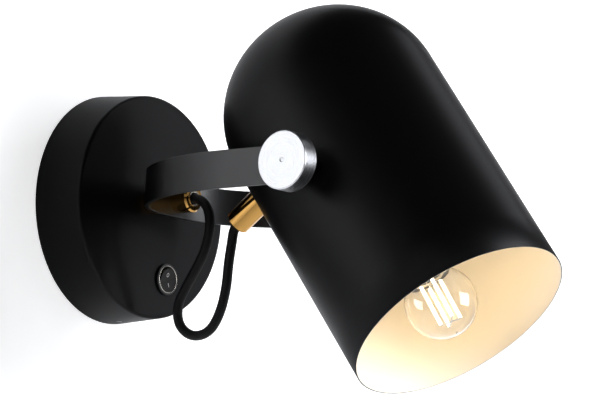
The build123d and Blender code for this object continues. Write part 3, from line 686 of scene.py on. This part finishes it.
# room: a wall behind the lamp, a floor and two side walls, painted white
room = {
    "size": 14.0,
    "floor": -1.2,
    "side": 3.5,
    "wallTop": 0.45,
    "wallGap": 0.0004,
    "sideTop": 2.4,
    "colour": "#f2f2f2",
    "glow": 0.66,
    "mirrored": 0.25,
}
roomWhite = bpy.data.materials.new("paintedWall")
roomWhite.use_nodes = True
tree = roomWhite.node_tree
tree.nodes.clear()
paint = addNode(tree, "ShaderNodeBsdfDiffuse", {"Color": linear(room["colour"])})
glow = addNode(tree, "ShaderNodeEmission", {"Color": (1, 1, 1, 1), "Strength": room["glow"]})

# it glows to the camera and through glass in full, and in mirroring surfaces in part
seen = addNode(tree, "ShaderNodeLightPath")
direct = addNode(
    tree,
    "ShaderNodeMath",
    {"operation": "MAXIMUM"},
    {0: seen.outputs["Is Camera Ray"], 1: seen.outputs["Is Transmission Ray"]},
)
shown = addNode(
    tree,
    "ShaderNodeMath",
    {"operation": "MULTIPLY_ADD", 1: room["mirrored"]},
    {0: seen.outputs["Is Glossy Ray"], 2: direct.outputs[0]},
)
both = addNode(tree, "ShaderNodeAddShader", links={0: paint.outputs[0], 1: glow.outputs[0]})
chosen = addNode(
    tree,
    "ShaderNodeMixShader",
    links={0: shown.outputs[0], 1: paint.outputs[0], 2: both.outputs[0]},
)

# it is only there from its inside, so that views from behind look through it
around = addNode(tree, "ShaderNodeNewGeometry")
nothing = addNode(tree, "ShaderNodeBsdfTransparent")
inside = addNode(
    tree,
    "ShaderNodeMixShader",
    links={0: around.outputs["Backfacing"], 1: chosen.outputs[0], 2: nothing.outputs[0]},
)
addNode(tree, "ShaderNodeOutputMaterial", links={"Surface": inside.outputs[0]})


def makePlane(name, middle, width, depth, turn, axis):  # a flat side of the room, facing the lamp
    mesh = bmesh.new()
    bmesh.ops.create_grid(mesh, x_segments=1, y_segments=1, size=0.5)
    bmesh.ops.scale(mesh, vec=(width, depth, 1), verts=mesh.verts)
    mesh.transform(Matrix.Translation(middle) @ Matrix.Rotation(math.radians(turn), 4, axis))
    toObject(mesh, name, [roomWhite], smooth=False)


floor, size, side = room["floor"], room["size"], room["side"]
wallHigh = room["wallTop"] - floor
sideHigh = room["sideTop"] - floor
sideMiddle = (floor + room["sideTop"]) / 2
makePlane("wall", (0, room["wallGap"], floor + wallHigh / 2), size, wallHigh, 90, "X")
makePlane("floor", (0, 0, floor), size, size, 0, "Z")
makePlane("sideLeft", (-side, -size / 4, sideMiddle), sideHigh, size / 2, 90, "Y")
makePlane("sideRight", (side, -size / 4, sideMiddle), sideHigh, size / 2, -90, "Y")

# world: white where the camera looks past the room, and dim to everything else
sky = {"dim": 0.05}
world = bpy.data.worlds.new("studio")
scene.world = world
world.use_nodes = True
tree = world.node_tree
tree.nodes.clear()
seen = addNode(tree, "ShaderNodeLightPath")
strength = addNode(
    tree,
    "ShaderNodeMath",
    {"operation": "MAXIMUM", 1: sky["dim"]},
    {0: seen.outputs["Is Camera Ray"]},
)
background = addNode(
    tree,
    "ShaderNodeBackground",
    {"Color": (1, 1, 1, 1)},
    {"Strength": strength.outputs[0]},
)
addNode(tree, "ShaderNodeOutputWorld", links={"Surface": background.outputs[0]})


def placeLamp(name, data, light):  # a lamp of the scene that looks at its aim
    lamp = bpy.data.objects.new(name, data)
    scene.collection.objects.link(lamp)
    lamp.location = light["place"]
    aim = Vector(light["aim"]) - Vector(light["place"])
    lamp.rotation_euler = aim.to_track_quat("-Z", "Y").to_euler()


# soft boxes: the key in front and to the right, and a weak one from above on the shade's right side
softBoxes = {
    "key": {"place": (0.95, -2.35, 0.45), "aim": (0, -0.2, 0), "size": (1.5, 1.5), "power": 63.0},
    "top": {"place": (1.5, -0.45, 1.25), "aim": (0, -0.2, 0), "size": (0.7, 0.7), "power": 2.2},
}
softBoxColour = "#f8faff"
for name, light in softBoxes.items():
    data = bpy.data.lights.new(name, "AREA")
    data.shape = "RECTANGLE"
    data.size, data.size_y = light["size"]
    data.energy = light["power"]
    data.color = linear(softBoxColour)[:3]
    placeLamp(name, data, light)

# a spot on the wall to the left of the picture, which the arm and the knob mirror
wallLamp = {
    "place": (-0.6, -0.9, 0.35),
    "aim": (-0.46, 0, 0.05),
    "power": 29.0,
    "angle": 32.0,
    "blend": 0.9,
    "radius": 0.05,
}
data = bpy.data.lights.new("wallLamp", "SPOT")
data.energy = wallLamp["power"]
data.spot_size = math.radians(wallLamp["angle"])
data.spot_blend = wallLamp["blend"]
data.shadow_soft_size = wallLamp["radius"]
placeLamp("wallLamp", data, wallLamp)

# the bulb's own warm light, from the middle of its globe
bulbLight = {"place": 0.0975, "radius": 0.012, "power": 0.205, "colour": "#ffd99f"}
data = bpy.data.lights.new("bulbLight", "POINT")
data.shadow_soft_size = bulbLight["radius"]
data.energy = bulbLight["power"]
data.color = linear(bulbLight["colour"])[:3]
lamp = bpy.data.objects.new("bulbLight", data)
scene.collection.objects.link(lamp)
lamp.location = pivot + bulbWay * bulbLight["place"]
lamp.visible_camera = False
lamp.visible_transmission = False
lamp.visible_glossy = False
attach(lamp, "shade")
print("room and lights set")
